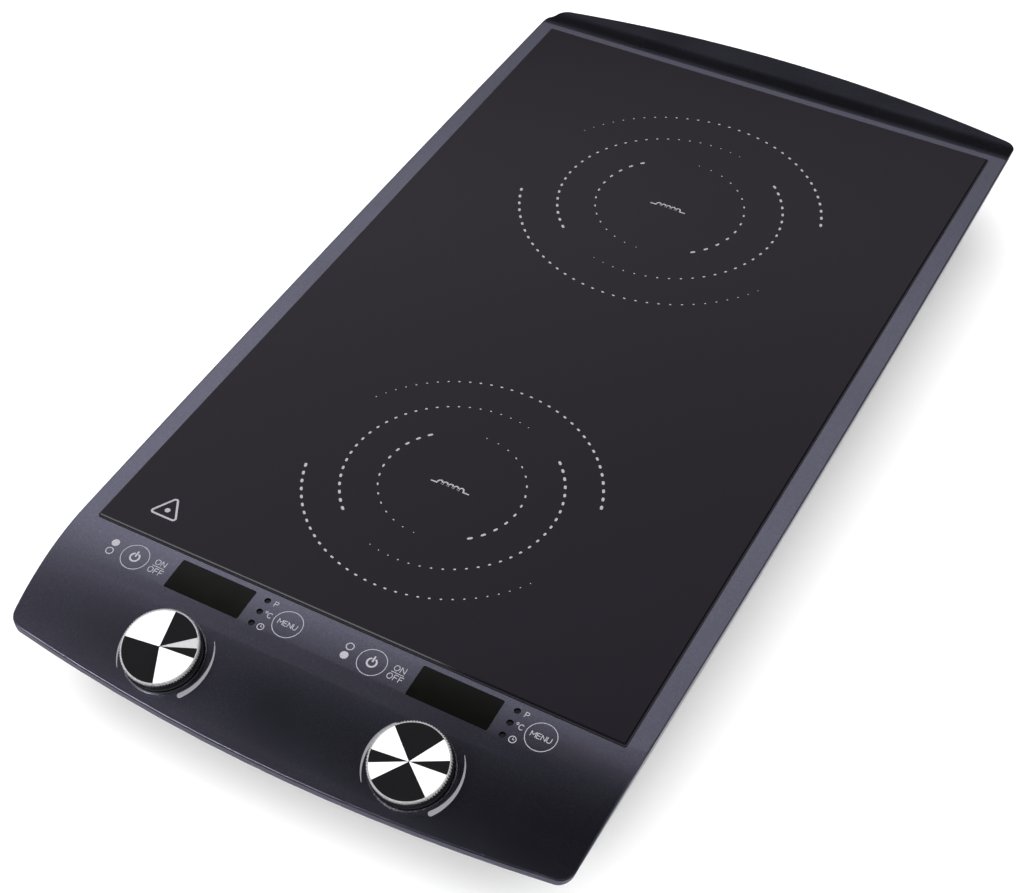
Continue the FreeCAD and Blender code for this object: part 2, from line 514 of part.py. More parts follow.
# ---- control groups --------------------------------------------------------------------------
for side in ("left", "right"):
    cx = GROUP_X[side]
    # Display window, flush with the curved panel and as thick as the panel.
    half = WINDOW_W / 2
    plug = rounded(cx - half, cx + half, WINDOW_Y - WINDOW_L / 2, WINDOW_Y + WINDOW_L / 2, -12, 3, 0.9)
    band = below(0.1, 0.0, 10.0, -120.0).cut(below(2.3, 0.0, 10.0, -121.0))
    window = plug.common(band)
    export("display_window_" + side, window)
    # The board lies square to the encoder, under the whole group of controls.
    top = -PCB_DEPTH
    edge = [(-54, 49), (-54, -1), (-48, -7.5), (48, -7.5), (54, -1), (54, 49), (-54, 49)]
    board = Part.Face(Part.makePolygon([V(u, v, top - 1.6) for u, v in edge]))
    board = board.extrude(V(0, 0, 1.6))
    for px, py in CTRL_POSTS:
        board = board.cut(rod(px, py, top - 3, top + 1, 1.4))
    export("control_board_" + side, on_panel(board, side))
    led_bar = []
    for y in LED_Y:
        dy, dz = y - KNOB_Y, deck(y) - deck(KNOB_Y)
        up = dy * math.cos(math.radians(TILT)) + dz * math.sin(math.radians(TILT))
        lift = dz * math.cos(math.radians(TILT)) - dy * math.sin(math.radians(TILT))
        stem = rod(cx - KNOB_X[side] + LED_DX, up, top, lift - 3.4, 1.3)
        lens = rod(cx + LED_DX, y, deck(y) - 4.0, deck(y) - 0.7, 1.45)
        led_bar.append(on_panel(stem, side).fuse(lens))
    export("indicator_leds_" + side, Part.makeCompound(led_bar))
    module = on_panel(box(-20.5, 20.5, 31.0, 45.0, top, top + 6.5), side)
    export("display_module_" + side, module)
    body = box(-6.3, 6.3, -6.7, 6.7, top, top + 6.5).fuse(rod(0, 0, top + 6.0, top + 13.0, 3.5))
    body = body.cut(rod(0, 0, top + 2.0, top + 14.0, 3.06))
    export("encoder_" + side, on_panel(body.removeSplitter(), side))
    pads = []
    for dx in (-45.2, 46.0):
        pad = rod(dx, 39.0, top, top + 7.0, 3.8)
        pad = pad.fuse(Part.makeCone(3.8, 2.2, 1.5, V(dx, 39.0, top + 7.0), V(0, 0, 1)))
        pads.append(on_panel(pad.removeSplitter(), side))
    export("touch_pads_" + side, Part.makeCompound(pads))
    export("base_ring_" + side, on_panel(ring(0, 0, -1.5, 0.35, KNOB_R + 0.5, KNOB_R + 1.2), side))

    # ---- knob: body with skirt, knurled bright rim, spun cap, and the shaft it turns ----------
    low = 0.6
    skirt = rod(0, 0, low, low + 1.6, KNOB_R)
    shoulder = Part.makeCone(KNOB_R, GRIP_R, 0.6, V(0, 0, low + 1.6), V(0, 0, 1))
    grip = rod(0, 0, low + 2.2, KNOB_H - 2.2, GRIP_R)
    knob = skirt.fuse(shoulder).fuse(grip)
    knob = knob.cut(ring(0, 0, low - 1, low + 4.6, 6.5, GRIP_R - 1.8))
    knob = knob.cut(rod(0, 0, low - 1, low + 5.2, 3.0))
    notches = []
    for i in range(TEETH):
        a = 2 * math.pi * i / TEETH
        notches.append(rod(GRIP_R * math.cos(a), GRIP_R * math.sin(a), low + 2.5, KNOB_H, 0.5))
    knob = knob.cut(Part.makeCompound(notches))
    export("knob_body_" + side, on_panel(knob, side))
    rim_ring = rod(0, 0, KNOB_H - 2.2, KNOB_H - 0.3, KNOB_R)
    bevel = Part.makeCone(KNOB_R, KNOB_R - 0.3, 0.3, V(0, 0, KNOB_H - 0.3), V(0, 0, 1))
    rim_ring = rim_ring.fuse(bevel)
    rim_ring = rim_ring.cut(rod(0, 0, KNOB_H - 1.0, KNOB_H + 1, CAP_R + 0.05))
    rim_ring = rim_ring.cut(rod(0, 0, KNOB_H - 3, KNOB_H + 1, CAP_R - 1.5))
    notches = []
    for i in range(TEETH):
        a = 2 * math.pi * (i + 0.5) / TEETH
        notches.append(rod(KNOB_R * math.cos(a), KNOB_R * math.sin(a), KNOB_H - 3, KNOB_H + 1, 0.62))
    rim_ring = rim_ring.cut(Part.makeCompound(notches))
    export("knob_rim_" + side, on_panel(rim_ring, side))
    cap = rod(0, 0, KNOB_H - 1.0, KNOB_H - 0.1, CAP_R)
    cap = cap.fuse(rod(0, 0, KNOB_H - 2.2, KNOB_H - 0.9, CAP_R - 1.55))
    export("knob_cap_" + side, on_panel(cap.removeSplitter(), side))
    shaft = rod(0, 0, top + 2.3, low + 5.2, 3.0)
    export("encoder_shaft_" + side, on_panel(shaft, side))

# ---- internal leads --------------------------------------------------------------------------


def bend(points, r):
    """Edges of a path through the points with every corner rounded to radius r."""
    edges, last = [], points[0]
    for i in range(1, len(points) - 1):
        a, c, b = points[i - 1], points[i], points[i + 1]
        u, v = (a - c).normalize(), (b - c).normalize()
        p, q = c + u * r, c + v * r
        mid = c + (u + v) * r - (u + v).normalize() * r
        edges += [Part.makeLine(last, p), Part.Arc(p, mid, q).toShape()]
        last = q
    return Part.Wire(edges + [Part.makeLine(last, points[-1])])


# Flat ribbons, each from a plug under its control board to a socket on the front power board.
ribbons = []
for side, x0 in (("left", -62.0), ("right", 62.0)):
    dx = x0 - KNOB_X[side]
    path = bend([V(x0, -20, -21.0), V(x0, -20, -46.0), V(x0, 41, -46.0)], 12.0)
    strip = [V(x0 - 6, -20.4, -21), V(x0 + 6, -20.4, -21), V(x0 + 6, -19.6, -21), V(x0 - 6, -19.6, -21)]
    lead = path.makePipeShell([Part.makePolygon(strip + strip[:1])], True, False)
    low = -PCB_DEPTH - 1.6
    plug = on_panel(box(dx - 7, dx + 7, 26.0, 32.0, low - 4.5, low), side)
    socket = box(x0 - 7, x0 + 7, 40.0, 46.0, BOARD_Z + 1.6, -44.6)
    ribbons.append(lead.fuse(plug).fuse(socket).removeSplitter())
export("ribbon_cables", Part.makeCompound(ribbons))

# Sleeved mains pairs from the terminal block to the rear and front power boards.
z = -49.4
y0 = GLAND[1] - 62
routes = [[V(93, y0, z), V(93, 452, z), V(52, 452, z), V(52, 430, z)]]
routes.append([V(115, y0, z), V(115, 450, z), V(127, 450, z), V(127, 140, z), V(74, 140, z)])
pairs = []
for r, route in zip((8.0, 5.5), routes):
    path = bend(route, r)
    sleeve = Part.Wire([Part.makeCircle(1.4, route[0], V(0, 1, 0))])
    pairs.append(path.makePipeShell([sleeve], True, False))
export("mains_leads", Part.makeCompound(pairs))
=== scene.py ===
"""Looks of the two-zone induction cooktop: materials, prints, spun knob caps, light and camera."""

import json
import math

import bpy
from mathutils import Matrix, Vector


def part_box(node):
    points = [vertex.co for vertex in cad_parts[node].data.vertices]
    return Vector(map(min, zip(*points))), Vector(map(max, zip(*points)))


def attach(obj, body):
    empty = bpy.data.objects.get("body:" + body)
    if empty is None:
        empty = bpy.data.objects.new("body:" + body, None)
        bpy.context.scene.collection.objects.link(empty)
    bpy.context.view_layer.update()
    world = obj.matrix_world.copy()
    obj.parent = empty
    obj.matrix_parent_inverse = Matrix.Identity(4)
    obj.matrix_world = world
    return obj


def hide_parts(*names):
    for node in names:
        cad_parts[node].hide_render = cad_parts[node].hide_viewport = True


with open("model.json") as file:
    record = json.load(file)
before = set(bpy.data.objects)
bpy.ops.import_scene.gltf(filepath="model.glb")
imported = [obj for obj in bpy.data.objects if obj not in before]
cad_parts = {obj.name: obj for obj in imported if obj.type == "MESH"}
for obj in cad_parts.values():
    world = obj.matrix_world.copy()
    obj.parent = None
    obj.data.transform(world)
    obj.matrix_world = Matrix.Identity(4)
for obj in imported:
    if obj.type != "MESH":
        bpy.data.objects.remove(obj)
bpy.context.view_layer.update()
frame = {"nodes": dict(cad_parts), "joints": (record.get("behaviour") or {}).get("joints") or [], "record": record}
NODES = frame["nodes"]
SIDES = ("left", "right")

# ---- where things are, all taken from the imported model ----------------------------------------
MM = 0.001
glass_lo, glass_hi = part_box("glass_plate")
GLASS_TOP = glass_hi.z
GLASS_FRONT = glass_lo.y
GLASS_X = (glass_lo.x + glass_hi.x) / 2
joints = {j["name"]: j for j in frame["joints"]}


def knob_frame(side):
    """Local frame of a knob: X to the right, Y up the panel, Z along the knob's axis."""
    j = joints["knob_" + side + "_turn"]
    n = Vector(j["axis"]).normalized()
    u = Vector((1, 0, 0))
    v = n.cross(u).normalized()
    m = Matrix((u, v, n)).transposed().to_4x4()
    m.translation = Vector(j["pos_m"])
    return m


# The panel in front of the glass is a cylinder of this radius, level at the crest beside the glass.
CURVE_R = 0.180
CREST_Y = GLASS_FRONT + 0.0015
CREST_Z = GLASS_TOP - 0.00135


def panel_z(y):
    if y >= CREST_Y:
        return CREST_Z
    return CREST_Z - CURVE_R + math.sqrt(CURVE_R**2 - (CREST_Y - y) ** 2)


# ---- node materials -----------------------------------------------------------------------------
class Nodes:
    """A material under construction, with short calls for the nodes it uses."""

    def __init__(self, name):
        self.mat = bpy.data.materials.new(name)
        self.mat.use_nodes = True
        self.tree = self.mat.node_tree
        self.tree.nodes.clear()
        self.out = self.tree.nodes.new("ShaderNodeOutputMaterial")
        self.bsdf = self.tree.nodes.new("ShaderNodeBsdfPrincipled")
        self.link(self.bsdf.outputs["BSDF"], self.out.inputs["Surface"])
        self.place = self.tree.nodes.new("ShaderNodeTexCoord").outputs["Object"]

    def link(self, a, b):
        self.tree.links.new(a, b)

    def noise(self, scale, detail=3.0, rough=0.55, stretch=None):
        n = self.tree.nodes.new("ShaderNodeTexNoise")
        n.inputs["Scale"].default_value = scale
        n.inputs["Detail"].default_value = detail
        n.inputs["Roughness"].default_value = rough
        source = self.place
        if stretch is not None:
            m = self.tree.nodes.new("ShaderNodeMapping")
            m.inputs["Scale"].default_value = stretch
            self.link(self.place, m.inputs["Vector"])
            source = m.outputs["Vector"]
        self.link(source, n.inputs["Vector"])
        return n.outputs["Fac"]

    def cells(self, scale):
        n = self.tree.nodes.new("ShaderNodeTexVoronoi")
        n.inputs["Scale"].default_value = scale
        self.link(self.place, n.inputs["Vector"])
        sep = self.tree.nodes.new("ShaderNodeSeparateColor")
        self.link(n.outputs["Color"], sep.inputs["Color"])
        return sep.outputs[0]

    def bands(self, pitch, axis="Z", rings=False):
        n = self.tree.nodes.new("ShaderNodeTexWave")
        n.wave_type = "RINGS" if rings else "BANDS"
        if rings:
            n.rings_direction = axis
        else:
            n.bands_direction = axis
        n.inputs["Scale"].default_value = 2 * math.pi / (20.0 * pitch)
        n.inputs["Distortion"].default_value = 0.0
        self.link(self.place, n.inputs["Vector"])
        return n.outputs["Fac"]

    def map(self, value, lo, hi, a=0.3, b=0.7):
        n = self.tree.nodes.new("ShaderNodeMapRange")
        n.clamp = True
        n.inputs["From Min"].default_value = a
        n.inputs["From Max"].default_value = b
        n.inputs["To Min"].default_value = lo
        n.inputs["To Max"].default_value = hi
        self.link(value, n.inputs["Value"])
        return n.outputs["Result"]

    def ramp(self, value, stops):
        n = self.tree.nodes.new("ShaderNodeValToRGB")
        e = n.color_ramp.elements
        e[0].position, e[0].color = stops[0][0], (*stops[0][1], 1)
        e[1].position, e[1].color = stops[-1][0], (*stops[-1][1], 1)
        for at, c in stops[1:-1]:
            k = e.new(at)
            k.color = (*c, 1)
        self.link(value, n.inputs["Fac"])
        return n.outputs["Color"]

    def bump(self, *layers):
        """Layers of (height, depth in metres), added up."""
        last = None
        for value, depth in layers:
            n = self.tree.nodes.new("ShaderNodeBump")
            n.inputs["Strength"].default_value = 1.0
            n.inputs["Distance"].default_value = depth
            self.link(value, n.inputs["Height"])
            if last is not None:
                self.link(last, n.inputs["Normal"])
            last = n.outputs["Normal"]
        self.link(last, self.bsdf.inputs["Normal"])

    def set(self, **values):
        for k, v in values.items():
            self.bsdf.inputs[k.replace("_", " ")].default_value = v
        return self


def shade(c, k):
    return tuple(min(1.0, x * k) for x in c)


def moulded(name, colour, rough, grain=2200.0, depth=0.00002, vary=0.12, **extra):
    """Plain moulded, sintered or pressed stuff: fine grain, slight mottling, uneven gloss."""
    m = Nodes(name)
    broad = m.noise(45.0, 4.0)
    fine = m.noise(grain, 2.0)
    lo, hi = shade(colour, 1 - vary), shade(colour, 1 + vary)
    m.link(m.ramp(broad, [(0.3, lo), (0.7, hi)]), m.bsdf.inputs["Base Color"])
    m.link(m.map(fine, rough - 0.05, rough + 0.07), m.bsdf.inputs["Roughness"])
    m.bump((fine, depth))
    m.set(**extra)
    return m.mat


def metal(name, colour, rough, stretch=(1, 1, 1), grain=900.0, depth=0.000006, vary=0.08, coat=0.0, **extra):
    """Bare or plated metal with a drawn grain and faint stains; coat is how satin its plating is."""
    m = Nodes(name)
    drawn = m.noise(grain, 3.0, 0.6, stretch)
    stain = m.noise(60.0, 4.0)
    lo, hi = shade(colour, 1 - vary), shade(colour, 1 + vary)
    m.link(m.ramp(stain, [(0.3, lo), (0.7, hi)]), m.bsdf.inputs["Base Color"])
    m.link(m.map(drawn, max(0.03, rough - 0.06), rough + 0.08), m.bsdf.inputs["Roughness"])
    m.bump((drawn, depth))
    m.set(Metallic=1.0 - coat, **extra)
    return m.mat


def paint():
    """Dark blue-grey metallic paint: orange peel, fine flakes and a thin clear coat."""
    m = Nodes("frame_paint")
    flake = m.cells(5200.0)
    cloud = m.noise(14.0, 3.0)
    dull, body, bright = (0.135, 0.134, 0.180), (0.170, 0.168, 0.220), (0.27, 0.267, 0.34)
    base = m.ramp(flake, [(0.0, dull), (0.82, body), (1.0, bright)])
    m.link(base, m.bsdf.inputs["Base Color"])
    m.link(m.map(cloud, 0.25, 0.30), m.bsdf.inputs["Roughness"])
    m.bump((m.noise(1500.0, 2.0), 0.000010), (m.noise(420.0, 2.0), 0.000012))
    m.set(Metallic=1.0, Coat_Weight=0.08, Coat_Roughness=0.22)
    return m.mat


def ceramic_glass():
    """Black glass-ceramic: polished, with the faintest waviness and wiped marks in the gloss."""
    m = Nodes("glass_black")
    wipe = m.noise(26.0, 5.0, 0.6, (1.0, 0.35, 1.0))
    speck = m.noise(3000.0, 1.0)
    dark, light = (0.0032, 0.0022, 0.0046), (0.0042, 0.0029, 0.0058)
    m.link(m.ramp(speck, [(0.35, dark), (0.7, light)]), m.bsdf.inputs["Base Color"])
    m.link(m.map(wipe, 0.045, 0.085), m.bsdf.inputs["Roughness"])
    m.bump((m.noise(9.0, 2.0), 0.000010))
    m.set(IOR=1.52, Specular_IOR_Level=0.17)
    return m.mat


def litz():
    """Copper litz: twisted enamelled strands running round the coil."""
    m = Nodes("litz_copper")
    strand = m.noise(2600.0, 2.0, 0.5, (1.0, 1.0, 0.3))
    dark, light = (0.36, 0.13, 0.045), (0.72, 0.33, 0.15)
    m.link(m.ramp(strand, [(0.3, dark), (0.7, light)]), m.bsdf.inputs["Base Color"])
    m.link(m.map(strand, 0.28, 0.45), m.bsdf.inputs["Roughness"])
    m.bump((strand, 0.00008))
    m.set(Metallic=0.9)
    return m.mat


def laminate(name, colour, trace):
    """Circuit board: solder mask with tracks and pads showing through."""
    m = Nodes(name)
    tracks = m.cells(170.0)
    fine = m.noise(1800.0, 2.0)
    stops = [(0.0, colour), (0.55, colour), (0.62, trace), (1.0, trace)]
    m.link(m.ramp(tracks, stops), m.bsdf.inputs["Base Color"])
    m.link(m.map(fine, 0.32, 0.45), m.bsdf.inputs["Roughness"])
    m.bump((tracks, 0.00003), (fine, 0.000006))
    return m.mat


def smoked(name, colour, rough):
    """Dark acrylic: deep gloss over an almost black body, very slightly rippled."""
    m = Nodes(name)
    cloud = m.noise(120.0, 3.0)
    tones = m.ramp(cloud, [(0.3, shade(colour, 0.85)), (0.7, shade(colour, 1.2))])
    m.link(tones, m.bsdf.inputs["Base Color"])
    m.link(m.map(m.noise(900.0, 2.0), rough, rough + 0.05), m.bsdf.inputs["Roughness"])
    m.bump((cloud, 0.000008))
    m.set(IOR=1.49, Specular_IOR_Level=0.12)
    return m.mat


def ink(name, colour):
    """Fired ceramic print: pale grey, faintly stippled by its screen."""
    m = Nodes(name)
    dots = m.noise(5200.0, 1.0)
    tones = m.ramp(dots, [(0.3, shade(colour, 0.9)), (0.7, shade(colour, 1.12))])
    m.link(tones, m.bsdf.inputs["Base Color"])
    m.link(m.map(dots, 0.42, 0.58), m.bsdf.inputs["Roughness"])
    m.bump((dots, 0.000006))
    return m.mat


def spun(name, lo, hi, metallic, rough):
    """Spun metal: concentric tool marks about the piece's own Z, gloss stretched across them."""
    m = Nodes(name)
    rings = m.bands(0.0006, "Z", rings=True)
    fine = m.noise(2400.0, 2.0)
    m.link(m.ramp(rings, [(0.2, lo), (0.8, hi)]), m.bsdf.inputs["Base Color"])
    m.link(m.map(fine, rough - 0.04, rough + 0.05), m.bsdf.inputs["Roughness"])
    t = m.tree.nodes.new("ShaderNodeTangent")
    t.direction_type, t.axis = "RADIAL", "Z"
    m.link(t.outputs["Tangent"], m.bsdf.inputs["Tangent"])
    m.bump((rings, 0.000004))
    m.set(Metallic=metallic, Anisotropic=0.75, Specular_IOR_Level=0.5 if metallic else 0.10)
    return m.mat


MATS = {
    "frame_paint": paint(),
    "glass_black": ceramic_glass(),
    "silicone_black": moulded("silicone_black", (0.010, 0.010, 0.011), 0.55, 1500.0),
    "housing_black": moulded("housing_black", (0.020, 0.020, 0.022), 0.52, 1300.0, 0.00006),
    "rubber_black": moulded("rubber_black", (0.024, 0.024, 0.025), 0.72, 1800.0, 0.00004),
    "steel_zinc": metal("steel_zinc", (0.58, 0.58, 0.56), 0.32),
    "litz_copper": litz(),
    "former_plastic": moulded("former_plastic", (0.055, 0.055, 0.06), 0.5, 1600.0, 0.00004),
    "ferrite": moulded("ferrite", (0.065, 0.065, 0.07), 0.62, 2600.0, 0.00005),
    "mica": moulded("mica", (0.60, 0.53, 0.40), 0.38, 500.0, 0.00003, 0.2),
    "spring_steel": metal("spring_steel", (0.52, 0.52, 0.54), 0.24),
    "probe_white": moulded("probe_white", (0.72, 0.71, 0.67), 0.5),
    "board_green": laminate("board_green", (0.030, 0.150, 0.060), (0.055, 0.24, 0.10)),
    "board_brown": laminate("board_brown", (0.27, 0.155, 0.065), (0.36, 0.23, 0.11)),
    "sink_alu": metal("sink_alu", (0.70, 0.70, 0.72), 0.30, (1.0, 0.04, 1.0)),
    "device_black": moulded("device_black", (0.028, 0.028, 0.03), 0.42, 2000.0, 0.00003),
    "cap_red": moulded("cap_red", (0.40, 0.045, 0.035), 0.3, 1200.0, 0.00001),
    "choke_mat": moulded("choke_mat", (0.52, 0.36, 0.08), 0.36, 700.0, 0.00012, 0.25),
    "fan_black": moulded("fan_black", (0.028, 0.028, 0.031), 0.42, 1500.0, 0.00004),
    "terminal_white": moulded("terminal_white", (0.74, 0.74, 0.70), 0.42),
    "window_smoke": smoked("window_smoke", (0.0026, 0.0026, 0.0022), 0.08),
    "module_black": smoked("module_black", (0.012, 0.012, 0.013), 0.2),
    "led_lens": smoked("led_lens", (0.004, 0.004, 0.006), 0.10),
    "encoder_metal": metal("encoder_metal", (0.62, 0.61, 0.59), 0.26),
    "trim_chrome": metal("trim_chrome", (0.80, 0.80, 0.83), 0.22),
    "knob_black": moulded("knob_black", (0.0060, 0.0060, 0.0070), 0.16, 1400.0, 0.000008, 0.2),
    "knob_rim_bright": metal("knob_rim_bright", (0.94, 0.94, 0.96), 0.18, coat=0.24),
    "ribbon_grey": moulded("ribbon_grey", (0.42, 0.42, 0.44), 0.5),
    "lead_brown": moulded("lead_brown", (0.11, 0.085, 0.07), 0.5),
    "print_ink": ink("print_ink", (0.27, 0.26, 0.288)),
    "swirl_ink": ink("swirl_ink", (0.185, 0.178, 0.198)),
    # Knob cap colours are painted light over spun metal: a painted highlight, a painted dark reflection and a
    # painted half highlight.
    "cap_painted_highlight": spun("cap_painted_highlight", (0.66, 0.66, 0.67), (0.74, 0.74, 0.75), 0.15, 0.34),
    "cap_painted_dark_reflection": spun("cap_painted_dark_reflection", (0.0040, 0.0040, 0.0045), (0.0075, 0.0075, 0.0080), 0.0, 0.30),
    "cap_painted_half_highlight": spun("cap_painted_half_highlight", (0.30, 0.30, 0.31), (0.46, 0.46, 0.47), 0.15, 0.34),
}

slots = {s["node"]: s["material_slot"] for s in frame["record"]["subparts"]}
for node, ob in NODES.items():
    mat = MATS.get(slots.get(node, ""), MATS["housing_black"])
    ob.data.materials.clear()
    ob.data.materials.append(mat)
    for p in ob.data.polygons:
        p.material_index = 0


# ---- mesh helpers -------------------------------------------------------------------------------
class Mesh:
    """Collects closed pieces in flat working coordinates and lays them on a surface."""

    def __init__(self):
        self.verts, self.faces = [], []

    def _add(self, verts, faces):
        k = len(self.verts)
        self.verts += verts
        self.faces += [[i + k for i in f] for f in faces]

    def ribbon(self, path, width, closed=False, caps=True):
        """A flat stroke along (x, y) points; width is one number or one per point."""
        w = list(width) if isinstance(width, (list, tuple)) else [width] * len(path)
        pts = [Vector(q) for q in path]
        if caps and not closed:
            first = (pts[0] - pts[1]).normalized()
            final = (pts[-1] - pts[-2]).normalized()
            steps = [math.radians(a) for a in (12, 30, 52, 75)]
            head = [(pts[0] + first * (w[0] / 2) * math.cos(a), w[0] * math.sin(a)) for a in steps]
            tail = [(pts[-1] + final * (w[-1] / 2) * math.cos(a), w[-1] * math.sin(a)) for a in steps]
            pts = [q for q, _ in head] + pts + [q for q, _ in reversed(tail)]
            w = [k for _, k in head] + w + [k for _, k in reversed(tail)]
        n = len(pts)
        verts = []
        for i, q in enumerate(pts):
            a = pts[i - 1] if i or closed else None
            b = pts[(i + 1) % n] if i < n - 1 or closed else None
            d1 = (q - a).normalized() if a is not None else (b - q).normalized()
            d2 = (b - q).normalized() if b is not None else d1
            n1, n2 = Vector((-d1.y, d1.x)), Vector((-d2.y, d2.x))
            m = n1 + n2
            m = m.normalized() if m.length > 1e-6 else n1
            m = m / max(0.45, m.dot(n1)) * (w[i] / 2)
            left, right = q + m, q - m
            verts += [(left.x, left.y, 1), (right.x, right.y, 1), (right.x, right.y, 0), (left.x, left.y, 0)]
        faces = []
        for i in range(n if closed else n - 1):
            a, b = 4 * i, 4 * ((i + 1) % n)
            for k in range(4):
                faces.append([a + k, a + (k + 1) % 4, b + (k + 1) % 4, b + k])
        if not closed:
            faces += [[3, 2, 1, 0], [4 * n - 4, 4 * n - 3, 4 * n - 2, 4 * n - 1]]
        self._add(verts, faces)

    def patch(self, outline):
        """A flat filled shape with a convex outline, counter-clockwise."""
        n = len(outline)
        verts = [(x, y, 1) for x, y in outline] + [(x, y, 0) for x, y in outline]
        faces = [list(range(n)), list(range(2 * n - 1, n - 1, -1))]
        faces += [[i, n + i, n + (i + 1) % n, (i + 1) % n] for i in range(n)]
        self._add(verts, faces)

    def dash(self, x, y, angle, length, width, power=2.8):
        c, s = math.cos(angle), math.sin(angle)
        outline = []
        for i in range(16):
            a = math.pi * (i + 0.5) / 8
            p = math.copysign(abs(math.cos(a)) ** (2 / power), math.cos(a)) * length / 2
            q = math.copysign(abs(math.sin(a)) ** (2 / power), math.sin(a)) * width / 2
            outline.append((x + p * c - q * s, y + p * s + q * c))
        self.patch(outline)

    def circle(self, x, y, r, width, start=0.0, turn=360.0, steps=48):
        full = abs(turn) >= 360.0
        n = steps if full else steps + 1
        path = []
        for i in range(n):
            a = math.radians(start + turn * i / steps)
            path.append((x + r * math.cos(a), y + r * math.sin(a)))
        self.ribbon(path, width, closed=full)

    def disc(self, x, y, r, steps=40):
        angles = [2 * math.pi * i / steps for i in range(steps)]
        self.patch([(x + r * math.cos(a), y + r * math.sin(a)) for a in angles])

    def build(self, name, lay, material, body, matrix=None):
        me = bpy.data.meshes.new(name)
        me.from_pydata([lay(*v) for v in self.verts], [], self.faces)
        me.materials.append(material)
        me.update()
        ob = bpy.data.objects.new(name, me)
        bpy.context.scene.collection.objects.link(ob)
        if matrix is not None:
            ob.matrix_world = matrix
        bpy.context.view_layer.update()
        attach(ob, body)
        return ob


# The print stands this far proud of its surface and reaches this far into it.
PROUD, SUNK = 0.00004, 0.00002


def on_glass(x, y, level):
    return (GLASS_X + x * MM, GLASS_FRONT + y * MM, GLASS_TOP + (PROUD if level else -SUNK))


def on_deck(x, y, level):
    yy = GLASS_FRONT + y * MM
    return (GLASS_X + x * MM, yy, panel_z(yy) + (PROUD if level else -SUNK))


# ---- cooking zones: six fading arcs of dashes and a coil sign at each centre --------------------
def fading_arc(mesh, cx, cy, r, start, end, count, big, small):
    for i in range(count):
        t = i / (count - 1)
        a = math.radians(start + (end - start) * t)
        k = (1 - t) ** 0.9
        length = small[0] + (big[0] - small[0]) * k
        width = small[1] + (big[1] - small[1]) * k
        mesh.dash(cx + r * math.cos(a), cy + r * math.sin(a), a + math.pi / 2, length, width)


def coil_sign(mesh, cx, cy, width, stroke):
    """The plain symbol for a winding: a row of humps between two leads."""
    r = width / 14.0
    path = [(cx - width / 2, cy - r)]
    for k in range(5):
        mid = cx + (k - 2) * 2 * r
        for a in range(180, -1, -20):
            path.append((mid + r * math.cos(math.radians(a)), cy - r + 1.5 * r * math.sin(math.radians(a))))
    path.append((cx + width / 2, cy - r))
    mesh.ribbon(path, stroke)


rings = Mesh()
ZONES = ((-1.2, 105.9, (78.5, 58.7, 38.8)), (-0.9, 371.4, (90.0, 67.2, 44.5)))
for cx, cy, (outer, middle, inner) in ZONES:
    big, small = (2.8, 1.6), (0.6, 0.5)
    fading_arc(rings, cx, cy, outer, 17.0, 151.0, 32, big, small)
    fading_arc(rings, cx, cy, outer, 198.3, 329.0, 32, big, small)
    fading_arc(rings, cx, cy, middle, 44.6, -105.7, 27, big, small)
    fading_arc(rings, cx, cy, middle, 225.4, 75.3, 27, big, small)
    fading_arc(rings, cx, cy, inner, -47.3, 90.8, 14, (3.0, 1.4), small)
    fading_arc(rings, cx, cy, inner, 136.7, 269.0, 14, (3.0, 1.4), small)
    coil_sign(rings, cx - 0.2, cy - 0.6, 22.0, 0.8)
# A plain rounded triangle stands in for the sign beside the front zone.
corners = [(-128.6, 14.2), (-112.4, 14.2), (-120.5, 28.6)]
loop = []
for i, c in enumerate(corners):
    mid = Vector((-120.5, 19.0))
    centre = Vector(c) + (mid - Vector(c)).normalized() * 2.6
    facing = math.atan2(c[1] - mid.y, c[0] - mid.x)
    for k in range(-4, 5):
        a = facing + math.radians(15 * k)
        loop.append((centre.x + 1.3 * math.cos(a), centre.y + 1.3 * math.sin(a)))
rings.ribbon(loop, 1.15, closed=True)
rings.disc(-120.5, 18.9, 1.5)
zone_print = rings.build("zone_print", on_glass, MATS["print_ink"], "base")

# ---- control legends ----------------------------------------------------------------------------
LETTERS = {
    "N": (0.78, [[(0, 0), (0, 1), (0.78, 0), (0.78, 1)]]),
    "F": (0.62, [[(0, 0), (0, 1), (0.62, 1)], [(0, 0.52), (0.52, 0.52)]]),
    "M": (0.90, [[(0, 0), (0, 1), (0.45, 0.35), (0.90, 1), (0.90, 0)]]),
    "E": (0.60, [[(0.60, 1), (0, 1), (0, 0), (0.60, 0)], [(0, 0.52), (0.52, 0.52)]]),
}


def bow(cx, cy, rx, ry, a0, a1, steps=12):
    pts = []
    for i in range(steps + 1):
        a = math.radians(a0 + (a1 - a0) * i / steps)
        pts.append((cx + rx * math.cos(a), cy + ry * math.sin(a)))
    return pts


LETTERS["O"] = (0.86, [bow(0.43, 0.5, 0.43, 0.5, 90, 450, 24)])
LETTERS["U"] = (0.74, [[(0, 1)] + bow(0.37, 0.37, 0.37, 0.37, 180, 360) + [(0.74, 1)]])
LETTERS["P"] = (0.62, [[(0, 0), (0, 1)] + bow(0.36, 0.73, 0.26, 0.27, 90, -90) + [(0, 0.46)]])
LETTERS["C"] = (0.74, [bow(0.42, 0.5, 0.42, 0.5, 50, 310, 18)])


def text(mesh, word, cx, cy, height, stroke, gap=0.30):
    total = sum(LETTERS[c][0] for c in word) + gap * (len(word) - 1)
    x = cx - total * height / 2
    for c in word:
        w, strokes = LETTERS[c]
        for s in strokes:
            pts = [(x + px * height, cy + (py - 0.5) * height) for px, py in s]
            if len(pts) > 5:
                mesh.ribbon(pts, stroke)
                continue
            for a, b in zip(pts, pts[1:]):
                mesh.ribbon([a, b], stroke)
        x += (w + gap) * height


